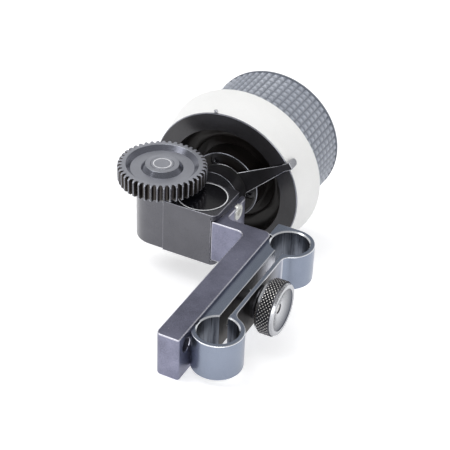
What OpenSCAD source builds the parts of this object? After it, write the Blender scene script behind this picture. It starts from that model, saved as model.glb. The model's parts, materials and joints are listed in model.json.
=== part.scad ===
// Follow focus unit for a pair of 15 mm rods.
// The origin is on the axis of the front rod bore, at the middle of the clamp's height.
// +Z runs along the rods, +Y from the front bore to the rear bore, +X from the arm to the clamp knob.

/* [Rods and rod clamp] */
// Diameter of the rods
rod_d = 15; // [14:0.5:16]
// Distance between the two rods
rod_spacing = 60; // [56:1:70]
// Height of the clamp along the rods
clamp_h = 15.4; // [13:0.2:17]
// Wall around each bore
clamp_wall = 2.1; // [1.8:0.1:3]
// Width of the slit
slit_w = 3; // [2:0.1:3.4]
// Distance of the slit's middle from the plane of the bore axes
slit_offset = 1.45; // [1:0.05:1.6]
// Thickness of the thin jaw
jaw_t = 1.75; // [1.4:0.05:2.4]
// Radius of the neck between the jaw and a lobe
neck_r = 4; // [3:0.25:5]
// Distance from the plane of the bore axes to the arm's face
bar_reach = 8; // [7.9:0.05:8.4]
// Rounding of the clamp's rear corner
lip_r = 1; // [0.5:0.1:1.5]
// Chamfer at the mouths of the bores
bore_chamfer = 0.5; // [0.3:0.1:0.8]

/* [Clamp knob] */
// Diameter of the knob
knob_d = 21.4; // [16:0.2:24]
// Width of the knurled body
knob_w = 7.1; // [5:0.1:9]
// Chamfer of the knob's edges
knob_chamfer = 0.9; // [0.4:0.1:1]
// Width of the flat rim of the knob's face
knob_rim = 1.5; // [0.8:0.1:2]
// Depth of the conical dish in the face
knob_dish = 1.8; // [1:0.1:2.4]
// Diameter of the small centre hole
knob_hole_d = 3.8; // [1.5:0.1:4.6]
// Diameter of the boss behind the knurl
knob_boss_d = 12; // [10:0.5:14]
// Length of the boss
knob_boss_l = 1.7; // [1.2:0.1:2.5]
// Diameter of the clamp stud
stud_d = 6; // [5:0.5:6]
// Thickness of the thrust washer
washer_t = 0.8; // [0.6:0.1:1.2]
// Diameter of the thrust washer
washer_d = 13; // [12:0.5:13]

/* [Arm] */
// Thickness of the long leg across the rods
arm_w = 9.4; // [9:0.1:12]
// Height of the arm
arm_h = 18.2; // [17.4:0.2:20]
// Reach of the arm in front of the front bore axis
arm_front = 13.9; // [12.4:0.1:18]
// Reach of the short leg behind the rear bore axis
arm_rear = 0.8; // [0:0.1:2]
// Thickness of the short leg
leg_t = 5.3; // [4.5:0.1:6]
// Free length of the short leg, from the long leg to the tongue
leg_len = 10.2; // [8:0.1:16]
// Length of the leg's tip that locates in the gearbox
leg_tip = 1.8; // [1.4:0.1:2.2]
// Thickness of the tongue beside the gearbox
tongue_t = 2.4; // [2:0.05:3]
// Length of the tongue from the leg's front face
tongue_len = 23; // [20:0.2:24]
// Rounding of the arm's outer front corner
arm_front_r = 2.2; // [1:0.1:3]
// Rounding of the arm's front corner beside the clamp
arm_inner_r = 1; // [0.5:0.1:2]
// Rounding of the arm's rear corner
arm_rear_r = 3.2; // [2:0.1:4]
// Fillet inside the bend
arm_fillet = 3; // [2:0.1:4]
// Rounding of the tongue's end
tongue_r = 2.3; // [1.5:0.1:2.3]
// Diameter of the spare threaded hole near the arm's front
spare_hole_d = 5.2; // [4:0.1:6]
// Depth of the spare hole
spare_hole_depth = 6; // [4:0.2:8]
// Distance of the spare hole behind the arm's front face
spare_hole_back = 5.7; // [5:0.1:7]
// Height of the spare hole over the arm's middle
spare_hole_up = 3.4; // [0:0.1:5]

/* [Gearbox] */
// Height of the gearbox
box_h = 23.6; // [23:0.2:28]
// Depth of the gearbox, front to rear
box_depth = 21.4; // [20.8:0.1:23]
// Length of the square block
block_len = 23.5; // [22:0.1:24.5]
// Distance from the gearbox's right face to the output axis
drive_inset = 30; // [29.6:0.1:31]
// Radius of the round end
end_r = 10.4; // [10:0.1:10.6]
// Rounding of the front corner beside the arm
box_corner_r = 2.6; // [1.5:0.1:3]
// Wall of the gearbox
box_wall = 1.8; // [1.5:0.1:2]
// Thickness of its top
box_top_t = 2.2; // [2:0.1:3]
// Thickness of its right wall, which takes the tongue's screws
box_right_t = 3.6; // [3:0.1:4.5]
// Thickness of the base cover
cover_t = 2.4; // [2:0.1:3]
// Diameter of the round top disc
disc_d = 20.8; // [18:0.2:20.8]
// Thickness of the top disc
disc_t = 0.9; // [0.6:0.1:1.2]
// Distance of the top disc's middle from the right face
disc_inset = 11.3; // [10.8:0.1:12]
// Diameter of the round boss towards the handwheel
boss_d = 22; // [20:0.5:23]
// Length of the boss up to the seam
boss_len = 7.7; // [6:0.1:10]
// Length of the collar on the boss
collar_len = 5.6; // [4:0.1:8]
// Diameter of the boss inside the collar
boss_neck_d = 18; // [16.5:0.5:18.5]
// Diameter of the pointer's seat
pointer_seat_d = 16; // [14:0.5:16]
// Length of the pointer's seat
pointer_seat_len = 3.4; // [3:0.1:4]

/* [Gear train] */
// Module of the inner spur gears
train_module = 0.6; // [0.6:0.6:0.6]
// Teeth of the idler's spur gear
idler_teeth = 26; // [26:1:26]
// Teeth of the pinion on the output shaft
pinion_teeth = 22; // [22:1:22]
// Width of the spur gears
spur_w = 2.6; // [2:0.1:2.7]
// Teeth of each bevel gear
bevel_teeth = 18; // [18:1:18]
// Length of the bevel gears' teeth along their axis
bevel_face = 1.9; // [1.4:0.1:2]
// Play between meshed flanks
backlash = 0.12; // [0.08:0.01:0.2]
// Diameter of the wheel shaft
wheel_shaft_d = 8; // [7:0.5:8]
// Diameter of the wheel shaft's nose
nose_d = 5; // [4:0.25:5]
// Diameter of the idler shaft
idler_shaft_d = 4; // [3:0.25:4]
// Diameter of the output shaft
drive_shaft_d = 6; // [5:0.5:6]
// Wall of the idler's bushes
idler_bush_wall = 1.5; // [1.2:0.1:1.6]
// Wall of the output shaft's bushes
drive_bush_wall = 2; // [1.5:0.1:2]
// Wall of the wheel shaft's bushes
wheel_bush_wall = 2; // [1.5:0.1:2]

/* [Drive gear] */
// Module of the drive gear
drive_module = 0.8; // [0.6:0.1:0.9]
// Teeth of the drive gear
drive_teeth = 43; // [38:1:50]
// Width of the drive gear
drive_w = 7.2; // [6:0.1:10]
// Height of the drive gear's underside over the gearbox
drive_lift = 2.15; // [1.5:0.05:3]
// Outer diameter of the dished groove
groove_d = 29.4; // [28:0.2:31]
// Diameter of the hub at the bottom of the groove
hub_base_d = 17; // [16:0.2:19]
// Diameter of the hub at its top
hub_top_d = 13.6; // [12:0.2:15]
// Depth of the groove
groove_depth = 1.9; // [0.6:0.1:2.2]
// Diameter of the cap in the hub
cap_d = 9.4; // [9:0.1:10]
// Thickness of the cap
cap_t = 1.2; // [0.9:0.1:1.4]

/* [Handwheel] */
// Distance from the collar's end to the disc's front plane
disc_gap = 3.9; // [3.8:0.1:5]
// Diameter of the seat that carries the marking ring
ring_seat_d = 64; // [60:0.2:65]
// Height of the disc's front rim over that seat
rim_over = 1.2; // [0.8:0.1:2]
// Width of the flat rim
rim_w = 7.6; // [6:0.1:9]
// Diameter of the hub ring
hub_d = 30.2; // [28:0.2:32]
// Depth of the dish
dish_depth = 9; // [6:0.2:10]
// Thickness of the disc
disc_thick = 12; // [11.5:0.1:14]
// Thickness of the thin front lip
lip_t = 0.6; // [0.4:0.1:1]
// Growth of the white marking ring's radius towards the rear
ring_flare = 3; // [1:0.1:4]
// Length of the marking ring
ring_len = 16.2; // [15:0.1:20]
// Length of the rubber grip
grip_len = 31.6; // [24:0.1:36]
// Outer diameter of the grip
grip_d = 61.4; // [59.4:0.2:70]
// Width of the smooth bands at the grip's ends
grip_band = 0.9; // [0.6:0.1:1.4]
// Chamfer of those bands
grip_edge = 0.3; // [0.2:0.1:0.4]
// Height of the grip's pyramids
grip_relief = 0.8; // [0.4:0.1:1]
// Pyramids in one ring round the grip
pyramid_count = 60; // [40:4:72]
// Rings of pyramids along the grip
row_count = 9; // [6:1:12]
// Thickness of the rubber
grip_wall = 2.3; // [2:0.1:4]
// Wall of the drum
drum_wall = 6.9; // [6.5:0.1:8]
// Thickness of the drum's web
web_t = 3; // [2.5:0.1:4]
// Thickness of the end cap
cap_plate_t = 2.6; // [2:0.1:3]

/* [Pointer] */
// Angle of the pointer above +X
pointer_angle = 33; // [0:1:60]
// Radial gap between the disc's rim and the pointer's tab
tab_gap = 1.4; // [1.1:0.1:2]
// Thickness of the pointer's plate
pointer_t = 0.8; // [0.6:0.1:0.8]
// Width of the pointer's tab
tab_w = 3.2; // [2:0.1:4]
// Length of the tab over the marking ring
tab_len = 5.4; // [4:0.1:8]

/* [Hidden] */
$fn = 96;

// Overrun of a cut past the face that it opens
over = 1;
// Radial play of a turning or sliding fit
run_fit = 0.04;
// Radial play of a piece that is set in its seat
set_fit = 0.02;
// Play between faces that pass each other
face_gap = 0.3;

// Rod clamp
bore_r = rod_d / 2;
lobe_r = bore_r + clamp_wall;
slit_x0 = -slit_offset - slit_w / 2;
slit_x1 = slit_x0 + slit_w;
jaw_x1 = slit_x1 + jaw_t;
neck_y = sqrt(pow(lobe_r + neck_r, 2) - pow(jaw_x1 + neck_r, 2));
knob_y = rod_spacing / 2;
stud_r = stud_d / 2;
jaw_hole_play = 0.3;
lip_gap = 0.3;

// Knob, outwards from the jaw
washer_gap = 0.05;
washer_x0 = jaw_x1 + washer_gap;
washer_x1 = washer_x0 + washer_t;
boss_x0 = washer_x1 + washer_gap;
knob_x0 = boss_x0 + knob_boss_l;
knob_x1 = knob_x0 + knob_w;
stud_end_gap = 0.5;
knob_crown = 2.4;
knob_floor_w = 0.35;

// Arm
arm_x1 = -bar_reach;
arm_x0 = arm_x1 - arm_w;
arm_y0 = -arm_front;
arm_y1 = rod_spacing + arm_rear;
leg_y0 = arm_y1 - leg_t;
tongue_x1 = arm_x0 - leg_len;
box_x1 = tongue_x1 - tongue_t;
leg_x0 = box_x1 - leg_tip;
tongue_y1 = leg_y0 + tongue_len;

// Screws from the arm into the clamp
arm_screw_d = 4;
arm_screw_head_d = 7;
arm_screw_head_h = 4;
arm_screw_head_play = 0.4;
arm_screw_sink = 4.2;
arm_screw_inset = 15;
arm_screw_tip_gap = 0.6;
socket_depth_share = 0.55;
socket_width_share = 0.5;

// Gearbox
box_y0 = leg_y0;
box_y1 = box_y0 + box_depth;
box_z1 = box_h / 2;
drive_x = box_x1 - drive_inset;
axis_y = box_y1 - end_r;
block_x0 = box_x1 - block_len;
cavity_z1 = box_z1 - box_top_t;
cover_z1 = cover_t - box_z1;
cavity_x1 = box_x1 - box_right_t;
notch_gap = 0.3;
disc_x = box_x1 - disc_inset;
disc_y = (box_y0 + box_y1) / 2;
rear_corner_r = 1.5;

// Screws from the tongue into the gearbox
housing_screw_d = 3;
housing_screw_head_d = 6.4;
housing_screw_head_h = 1.4;
housing_screw_sink = 1.1;
housing_screw_edge = 3;
housing_screw_z = arm_h / 2 - housing_screw_edge;
housing_screw_back = 15.3;
housing_screw_depth = 2.8;

// Posts and screws of the base cover
post_r = 1.8;
base_screw_d = 1.6;
base_screw_head_d = 2.4;
base_screw_head_h = 1.1;
base_screw_len = 7;
post_inset = 1.7;
post_left = 6.3;
POSTS = [
    [cavity_x1 - post_inset, box_y0 + box_wall + post_inset],
    [cavity_x1 - post_inset, box_y1 - box_wall - post_inset],
    [drive_x + post_left, axis_y - end_r + box_wall + post_inset],
    [drive_x + post_left, box_y1 - box_wall - post_inset]];

// Axes of the train: the wheel's axis crosses the idler's at the middle of the height
wheel_x = drive_x + train_module * (idler_teeth + pinion_teeth) / 2;
bevel_r = train_module * bevel_teeth / 2;
pressure_angle = 20;
addendum_share = 0.9;
dedendum_share = 1.2;
spur_z1 = cover_z1 + face_gap + spur_w;
bevel_hub_r = 4.4;
bevel_hub_bite = 0.05;
shaft_end_gap = 0.4;
cover_blind_t = 0.6;
idler_bush_r = idler_shaft_d / 2 + idler_bush_wall;
idler_boss_z = cone_flat(bevel_r, addendum_share * train_module) + face_gap;
idler_boss_wall = 1.4;
idler_top_skin = 0.5;
drive_bush_r = drive_shaft_d / 2 + drive_bush_wall;
drive_boss_wall = 1.5;
wheel_bush_r = wheel_shaft_d / 2 + wheel_bush_wall;
bush_len = 6;
shaft_collar_r = 5.2;
shaft_collar_l = 1;

// Boss, collar and pointer seat, from the gearbox to the wheel
seam_y = box_y1 + boss_len;
seam_gap = 0.3;
collar_y1 = seam_y + seam_gap + collar_len;
seat_y1 = collar_y1 + pointer_seat_len;
flange_y = collar_y1 + disc_gap;
friction_ring_d = 21;

// Drive gear
drive_z0 = box_z1 + drive_lift;
drive_z1 = drive_z0 + drive_w;
drive_seat_r = 6;
spigot_r = 4;
cap_recess = 2.6;
cap_play = 0.05;
drive_screw_head_h = 1.3;
drive_screw_d = 3;
drive_screw_len = 6;

// Handwheel
ring_seat_r = ring_seat_d / 2;
rim_r = ring_seat_r + rim_over;
ring_h1 = lip_t + ring_len;
core_h0 = disc_thick + run_fit;
web_h1 = core_h0 + web_t;
grip_h0 = ring_h1 + run_fit;
grip_h1 = grip_h0 + grip_len;
drum_r = grip_d / 2 - grip_wall;
drum_r0 = drum_r - drum_wall;
cap_seat = 4.4;
cap_screw_edge = 2.6;
hub_recess = 0.8;
hub_rim = 1.2;
dish_run = 3.1;
bead_gap = 3.9;
bead_r = hub_d / 2 + bead_gap;
bead_w = 0.5;
disc_screw_d = 2.9;
disc_screw_head_d = 5.4;
disc_screw_edge = 0.2;
disc_screw_r = hub_d / 2 - hub_rim - disc_screw_edge - disc_screw_head_d / 2;
disc_screw_head_h = 1.6;
disc_screw_sink = 2;
disc_screw_angle = 115;
nut_thread_d = 6;
nut_flats_d = 11.5;
nut_h = 4;
nut_washer_d = 14;
nut_washer_t = 1;
thread_out = 1;
pin_d = 1.6;
pin_angle = 100;
pin_h = 1.1;
pin_out = 0.9;
pin_in = 2.5;
cap_screw_d = 2;
cap_screw_head_d = 3.8;
cap_screw_head_h = 1.2;
cap_screw_len = 6;
cap_dish_d = 34;
cap_dish_depth = 0.8;
tab_lift = 1.3;
root_inset = 0.3;
root_r = friction_ring_d / 2 - root_inset;
root_up = 22;
root_down = 35;
tip_half_w = 1.15;

// Colours
ARM_TINT = "#63636f";
CLAMP_TINT = "#5b6472";
BOX_TINT = "#58585c";
BLACK_TINT = "#242326";
GEAR_TINT = "#6f7074";
STEEL_TINT = "#b9bcc2";
BRASS_TINT = "#b08d4c";
RUBBER_TINT = "#5b6066";
WHITE_TINT = "#f2f2f0";

// A cylinder along Z between two heights
module round_z(x, y, z0, z1, r) {
    translate([x, y, z0]) cylinder(h = z1 - z0, r = r);
}

// A cylinder along X between two places
module round_x(x0, x1, y, z, r) {
    translate([x0, y, z]) rotate([0, 90, 0]) cylinder(h = x1 - x0, r = r);
}

// A cylinder along Y between two places
module round_y(x, y0, y1, z, r) {
    translate([x, y0, z]) rotate([-90, 0, 0]) cylinder(h = y1 - y0, r = r);
}

// The sliver between a square corner at (x, y) and an arc of radius r inside it
module corner(x, y, r, sx, sy) {
    translate([x, y]) difference() {
        translate([min(0, sx) * r, min(0, sy) * r]) square(r);
        translate([sx * r, sy * r]) circle(r);
    }
}

// The same sliver, run past the two outer sides, for cutting a corner round
module corner_cut(x, y, r, sx, sy) {
    translate([x, y]) difference() {
        translate([sx > 0 ? -over : -r, sy > 0 ? -over : -r]) square(r + over);
        translate([sx * r, sy * r]) circle(r);
    }
}

// Half the tooth's angle at radius r, for a gear with the given pitch radius
function involute(a) = tan(a) * 180 / PI - a;
function base_r(pitch) = pitch * cos(pressure_angle);
function tooth_half(teeth, pitch, play, r) =
    90 / teeth - play / 4 / pitch * 180 / PI
    + involute(pressure_angle) - involute(acos(min(1, base_r(pitch) / r)));

function spur_radii(m, pitch) = let (low = pitch - dedendum_share * m, high = pitch + m)
    [low, max(base_r(pitch), low + m / 4), pitch, (pitch + high) / 2, high];
function spur_points(teeth, m, play) =
    let (pitch = teeth * m / 2, radii = spur_radii(m, pitch), top = len(radii) - 1)
    [for (t = [0:teeth - 1], k = [0:2 * top + 1])
        let (r = radii[k <= top ? k : 2 * top + 1 - k],
            half = tooth_half(teeth, pitch, play, r),
            a = t * 360 / teeth + (k <= top ? -half : half))
        [r * cos(a), r * sin(a)]];

// Radius, in the plane of a 45 degree bevel gear's large end, of a point the given depth outside
// the pitch cone
function cone_flat(pitch, depth) = pitch * tan(45 + depth / pitch * cos(45) * 180 / PI);

// Outline of a 45 degree bevel gear in the plane of its large end
function bevel_points(teeth, m, play) =
    let (pitch = teeth * m / 2, cone = pitch / cos(45), low = cone - dedendum_share * m,
        high = cone + addendum_share * m, radii = [low, cone, (cone + high) / 2, high])
    [for (t = [0:teeth - 1], k = [0:7])
        let (r = radii[k <= 3 ? k : 7 - k],
            half = r * tooth_half(teeth / cos(45), cone, play, r) / (pitch + (r - cone) * cos(45)),
            flat = cone_flat(pitch, r - cone),
            a = t * 360 / teeth + (k <= 3 ? -half : half))
        [flat * cos(a), flat * sin(a)]];

// Teeth of a bevel gear, large end at z = 0, tapering towards its apex above
module bevel_cone() {
    linear_extrude(height = bevel_face, scale = (bevel_r - bevel_face) / bevel_r)
        polygon(bevel_points(bevel_teeth, train_module, backlash));
}

// A cap screw along local +Z, its head's top at z = 0
module cap_screw(d, head_d, head_h, length) {
    socket_depth = head_h * socket_depth_share;
    difference() {
        union() {
            translate([0, 0, -head_h]) cylinder(h = head_h, d = head_d);
            translate([0, 0, -head_h - length]) cylinder(h = length + head_h / 2, d = d);
        }
        translate([0, 0, -socket_depth])
            cylinder(h = socket_depth + over, d = head_d * socket_width_share, $fn = 6);
    }
}

// Places its children with local +Z along +Y, on the wheel's axis at the disc's front plane
module on_wheel() {
    translate([wheel_x, flange_y, 0]) rotate([-90, 0, 0]) children();
}

// Slit, bores and necks of the clamp in plan
module lobe_pair(r) {
    for (y = [0, rod_spacing]) translate([0, y]) circle(r);
}

module clamp_neck(y, s) {
    translate([0, y]) scale([1, s]) difference() {
        polygon([[slit_x1, neck_y], [jaw_x1 + neck_r, neck_y], [0, 0], [slit_x1, 0]]);
        translate([jaw_x1 + neck_r, neck_y]) circle(neck_r);
    }
}

module clamp_plan() {
    lip_y0 = arm_y1 + lip_gap;
    lip_y1 = rod_spacing + lobe_r;
    difference() {
        union() {
            lobe_pair(lobe_r);
            translate([arm_x1, 0]) square([jaw_x1 - arm_x1, rod_spacing]);
            clamp_neck(0, 1);
            clamp_neck(rod_spacing, -1);
            translate([-lobe_r, lip_y0]) square([lobe_r, lip_y1 - lip_y0]);
        }
        lobe_pair(bore_r);
        translate([slit_x0, 0]) square([slit_w, rod_spacing]);
        translate([arm_x1 - lobe_r, -lobe_r - over]) square([lobe_r, lip_y0 + lobe_r + over]);
        corner_cut(-lobe_r, lip_y1, lip_r, 1, -1);
    }
}

module rod_clamp() {
    color(CLAMP_TINT) difference() {
        translate([0, 0, -clamp_h / 2]) linear_extrude(clamp_h) clamp_plan();
        for (y = [0, rod_spacing], s = [-1, 1]) translate([0, y, s * clamp_h / 2])
            rotate([s < 0 ? 180 : 0, 0, 0]) translate([0, 0, -bore_chamfer])
                cylinder(h = bore_chamfer + over, r1 = bore_r, r2 = bore_r + bore_chamfer + over);
        round_x(arm_x1 - over, slit_x0 + over, knob_y, 0, stud_r + run_fit);
        round_x(slit_x1 - over, jaw_x1 + over, knob_y, 0, stud_r + jaw_hole_play);
        for (s = [-1, 1])
            round_x(arm_x1 - over, slit_x0 + over, knob_y + s * arm_screw_inset, 0,
                arm_screw_d / 2 + set_fit);
    }
}

module thrust_washer() {
    color(STEEL_TINT) difference() {
        round_x(washer_x0, washer_x1, knob_y, 0, washer_d / 2);
        round_x(washer_x0 - over, washer_x1 + over, knob_y, 0, stud_r + run_fit);
    }
}

module clamp_knob() {
    r = knob_d / 2;
    hole_l = knob_w - knob_crown;
    color("#4a4a4c") translate([boss_x0, knob_y, 0]) rotate([0, 90, 0]) difference() {
        union() {
            cylinder(h = knob_boss_l + knob_chamfer, d = knob_boss_d);
            translate([0, 0, knob_boss_l]) rotate_extrude() polygon([
                [0, 0], [r - knob_chamfer, 0], [r, knob_chamfer], [r, knob_w - knob_chamfer],
                [r - knob_chamfer, knob_w], [0, knob_w]]);
        }
        translate([0, 0, knob_boss_l + knob_w - knob_dish])
            cylinder(h = knob_dish, r1 = knob_hole_d / 2 + knob_floor_w,
                r2 = r - knob_chamfer - knob_rim);
        translate([0, 0, -over]) cylinder(h = knob_boss_l + hole_l + over, r = stud_r + set_fit);
        cylinder(h = knob_boss_l + knob_w, d = knob_hole_d);
    }
}

module clamp_stud() {
    x1 = knob_x1 - knob_crown - set_fit;
    color(STEEL_TINT) round_x(arm_x1 + stud_end_gap, x1, knob_y, 0, stud_r);
}

module arm_plan() {
    difference() {
        union() {
            translate([arm_x0, arm_y0]) square([arm_w, arm_y1 - arm_y0]);
            translate([leg_x0, leg_y0]) square([arm_x1 - leg_x0, leg_t]);
            translate([box_x1, leg_y0]) square([tongue_t, tongue_len]);
            corner(arm_x0, leg_y0, arm_fillet, -1, -1);
            corner(tongue_x1, arm_y1, tongue_r, 1, 1);
        }
        corner_cut(arm_x0, arm_y0, arm_front_r, 1, 1);
        corner_cut(arm_x1, arm_y0, arm_inner_r, -1, 1);
        corner_cut(arm_x1, arm_y1, arm_rear_r, -1, -1);
        corner_cut(tongue_x1, tongue_y1, tongue_r, -1, -1);
        translate([leg_x0 - over, leg_y0 + leg_t]) square([box_x1 - leg_x0 + over, tongue_len]);
    }
}

module arm_bracket() {
    screw_y = leg_y0 + housing_screw_back;
    color(ARM_TINT) difference() {
        translate([0, 0, -arm_h / 2]) linear_extrude(arm_h) arm_plan();
        for (s = [-1, 1]) {
            y = knob_y + s * arm_screw_inset;
            round_x(arm_x0 - over, arm_x0 + arm_screw_sink, y, 0,
                (arm_screw_head_d + arm_screw_head_play) / 2);
            round_x(arm_x0, arm_x1 + over, y, 0, arm_screw_d / 2 + 2 * run_fit);
            round_x(box_x1 - over, tongue_x1 + over, screw_y, s * housing_screw_z,
                housing_screw_d / 2 + run_fit);
            round_x(tongue_x1 - housing_screw_sink, tongue_x1 + over, screw_y,
                s * housing_screw_z, housing_screw_head_d / 2 + run_fit);
        }
        round_x(arm_x1 - spare_hole_depth, arm_x1 + over, arm_y0 + spare_hole_back,
            spare_hole_up, spare_hole_d / 2);
    }
}

module arm_screws() {
    head_x = arm_x0 + arm_screw_sink - arm_screw_head_h;
    length = slit_x0 - arm_screw_tip_gap - head_x - arm_screw_head_h;
    color(STEEL_TINT) for (s = [-1, 1])
        translate([head_x, knob_y + s * arm_screw_inset, 0]) rotate([0, -90, 0])
            cap_screw(arm_screw_d, arm_screw_head_d, arm_screw_head_h, length);
}

module housing_screws() {
    head_x = tongue_x1 - housing_screw_sink + housing_screw_head_h;
    length = head_x - housing_screw_head_h - box_x1 + housing_screw_depth;
    color(STEEL_TINT) for (s = [-1, 1])
        translate([head_x, leg_y0 + housing_screw_back, s * housing_screw_z])
            rotate([0, 90, 0])
                cap_screw(housing_screw_d, housing_screw_head_d, housing_screw_head_h, length);
}

// Plan of the gearbox, drawn in by the given wall; right is the wall of the right face
module box_plan(wall, right) {
    translate([drive_x, axis_y]) circle(end_r - wall);
    translate([drive_x, axis_y - end_r + wall])
        square([block_x0 - drive_x + 2 * wall, 2 * (end_r - wall)]);
    difference() {
        translate([block_x0 + wall, box_y0 + wall])
            square([block_len - wall - right, box_depth - 2 * wall]);
        if (wall == 0) {
            corner_cut(box_x1, box_y0, box_corner_r, -1, 1);
            corner_cut(box_x1, box_y1, rear_corner_r, -1, -1);
        }
    }
}

module gearbox_housing() {
    screw_y = leg_y0 + housing_screw_back;
    color(BOX_TINT) difference() {
        union() {
            difference() {
                translate([0, 0, -box_z1]) linear_extrude(box_h) box_plan(0, 0);
                translate([0, 0, -box_z1 - over]) linear_extrude(cavity_z1 + box_z1 + over)
                    box_plan(box_wall, box_right_t);
            }
            for (p = POSTS) round_z(p[0], p[1], cover_z1, cavity_z1 + over, post_r);
            round_z(wheel_x, axis_y, idler_boss_z, cavity_z1 + over / 2, idler_bush_r + idler_boss_wall);
            round_z(drive_x, axis_y, idler_boss_z, cavity_z1 + over, drive_bush_r + drive_boss_wall);
            round_y(wheel_x, box_y1 - box_wall, seam_y, 0, boss_d / 2);
            round_y(wheel_x, seam_y - over, collar_y1, 0, boss_neck_d / 2);
            round_y(wheel_x, collar_y1 - over, seat_y1, 0, pointer_seat_d / 2);
        }
        for (p = POSTS)
            round_z(p[0], p[1], cover_z1 - over, cover_z1 + base_screw_len, base_screw_d / 2 + set_fit);
        round_z(wheel_x, axis_y, idler_boss_z - over, box_z1 - disc_t - idler_top_skin,
            idler_bush_r + set_fit);
        round_z(drive_x, axis_y, idler_boss_z - over, box_z1 + over, drive_bush_r + set_fit);
        round_z(disc_x, disc_y, box_z1 - disc_t, box_z1 + over, disc_d / 2 + set_fit);
        round_y(wheel_x, box_y1 - box_wall - over, seat_y1 + over, 0, wheel_bush_r + set_fit);
        translate([leg_x0 - notch_gap, box_y0 - over, -arm_h / 2 - notch_gap])
            cube([leg_tip + notch_gap + over, leg_t + notch_gap + over, arm_h + 2 * notch_gap]);
        for (s = [-1, 1]) round_x(box_x1 - housing_screw_depth - notch_gap, box_x1 + over,
            screw_y, s * housing_screw_z, housing_screw_d / 2 + set_fit);
    }
}

module base_cover() {
    color(BOX_TINT) difference() {
        translate([0, 0, -box_z1]) linear_extrude(cover_t)
            box_plan(box_wall + set_fit, box_right_t + set_fit);
        for (p = POSTS) {
            round_z(p[0], p[1], -box_z1 - over, cover_z1 + over, base_screw_d / 2 + run_fit);
            round_z(p[0], p[1], -box_z1 - over, -box_z1 + base_screw_head_h,
                base_screw_head_d / 2 + run_fit);
        }
        round_z(wheel_x, axis_y, cover_blind_t - box_z1, cover_z1 + over, idler_bush_r + set_fit);
        round_z(drive_x, axis_y, cover_blind_t - box_z1, cover_z1 + over, drive_bush_r + set_fit);
    }
}

module base_screws() {
    color(STEEL_TINT) for (p = POSTS) translate([p[0], p[1], -box_z1]) rotate([180, 0, 0])
        cap_screw(base_screw_d, base_screw_head_d, base_screw_head_h, base_screw_len);
}

module top_disc() {
    color(BLACK_TINT) round_z(disc_x, disc_y, box_z1 - disc_t, box_z1, disc_d / 2);
}

module boss_collar() {
    y0 = seam_y + seam_gap;
    color(BLACK_TINT) difference() {
        round_y(wheel_x, y0, collar_y1, 0, boss_d / 2);
        round_y(wheel_x, y0 - over, collar_y1 + over, 0, boss_neck_d / 2 + set_fit);
    }
}

module friction_ring() {
    y1 = seat_y1 - pointer_t - washer_gap;
    color("#1b1b1c") difference() {
        round_y(wheel_x, collar_y1, y1, 0, friction_ring_d / 2);
        round_y(wheel_x, collar_y1 - over, y1 + over, 0, pointer_seat_d / 2 + set_fit);
    }
}

// Flat plate with a tab bent over the marking ring; drawn about the wheel's axis
module pointer() {
    seat_r = pointer_seat_d / 2 + run_fit;
    flat_z = seat_y1 - flange_y - pointer_t;
    tab_r0 = rim_r + tab_gap;
    color(BLACK_TINT) on_wheel() rotate([0, 0, -pointer_angle]) {
        difference() {
            translate([0, 0, flat_z]) linear_extrude(pointer_t) union() {
                circle(friction_ring_d / 2);
                polygon([
                    [root_r * cos(root_up), -root_r * sin(root_up)],
                    [tab_r0 - tab_lift, -tip_half_w], [tab_r0 - tab_lift, tip_half_w],
                    [root_r * cos(root_down), root_r * sin(root_down)], [0, 0]]);
                translate([tab_r0 - 2 * tab_lift, -tab_w / 2]) square([2 * tab_lift + pointer_t, tab_w]);
            }
            translate([0, 0, flat_z - over]) cylinder(h = pointer_t + 2 * over, r = seat_r);
        }
        translate([tab_r0, 0, flat_z]) rotate([90, 0, 90]) linear_extrude(pointer_t) {
            translate([-tab_w / 2, 0]) square([tab_w, tab_len - tab_w / 2]);
            translate([0, tab_len - tab_w / 2]) circle(tab_w / 2);
        }
    }
}

// Bushes: one at each end of the wheel shaft's tunnel, one pair on each upright shaft
module bush_y(y0, y1) {
    difference() {
        round_y(wheel_x, y0, y1, 0, wheel_bush_r);
        round_y(wheel_x, y0 - over, y1 + over, 0, wheel_shaft_d / 2 + run_fit);
    }
}

module bush_z(x, z0, z1, r, bore) {
    difference() {
        round_z(x, axis_y, z0, z1, r);
        round_z(x, axis_y, z0 - over, z1 + over, bore + run_fit);
    }
}

module wheel_bush_inner() {
    color(BRASS_TINT) bush_y(box_y1 - box_wall, box_y1 - box_wall + bush_len);
}

module wheel_bush_outer() {
    color(BRASS_TINT) bush_y(seat_y1 - bush_len, seat_y1);
}

module idler_bush_upper() {
    color(BRASS_TINT) bush_z(wheel_x, idler_boss_z, box_z1 - disc_t - idler_top_skin,
        idler_bush_r, idler_shaft_d / 2);
}

module idler_bush_lower() {
    color(BRASS_TINT) bush_z(wheel_x, cover_blind_t - box_z1, cover_z1, idler_bush_r,
        idler_shaft_d / 2);
}

module drive_bush_upper() {
    color(BRASS_TINT) bush_z(drive_x, idler_boss_z, box_z1, drive_bush_r, drive_shaft_d / 2);
}

module drive_bush_lower() {
    color(BRASS_TINT) bush_z(drive_x, cover_blind_t - box_z1, cover_z1, drive_bush_r,
        drive_shaft_d / 2);
}

// Wheel shaft with a collar in front of the inner bush and a thread for the nut
module wheel_shaft() {
    collar_y0 = box_y1 - box_wall - face_gap / 2 - shaft_collar_l;
    nose_y0 = axis_y + bevel_r - bevel_face;
    thread_y1 = flange_y + web_h1 + nut_washer_t + nut_h + thread_out;
    color(STEEL_TINT) {
        round_y(wheel_x, nose_y0, collar_y0 + shaft_collar_l / 2, 0, nose_d / 2);
        round_y(wheel_x, collar_y0, collar_y0 + shaft_collar_l, 0, shaft_collar_r);
        round_y(wheel_x, collar_y0, flange_y + web_h1 - face_gap, 0, wheel_shaft_d / 2);
        round_y(wheel_x, flange_y + web_h1 - over, thread_y1, 0, nut_thread_d / 2);
    }
}

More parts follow.
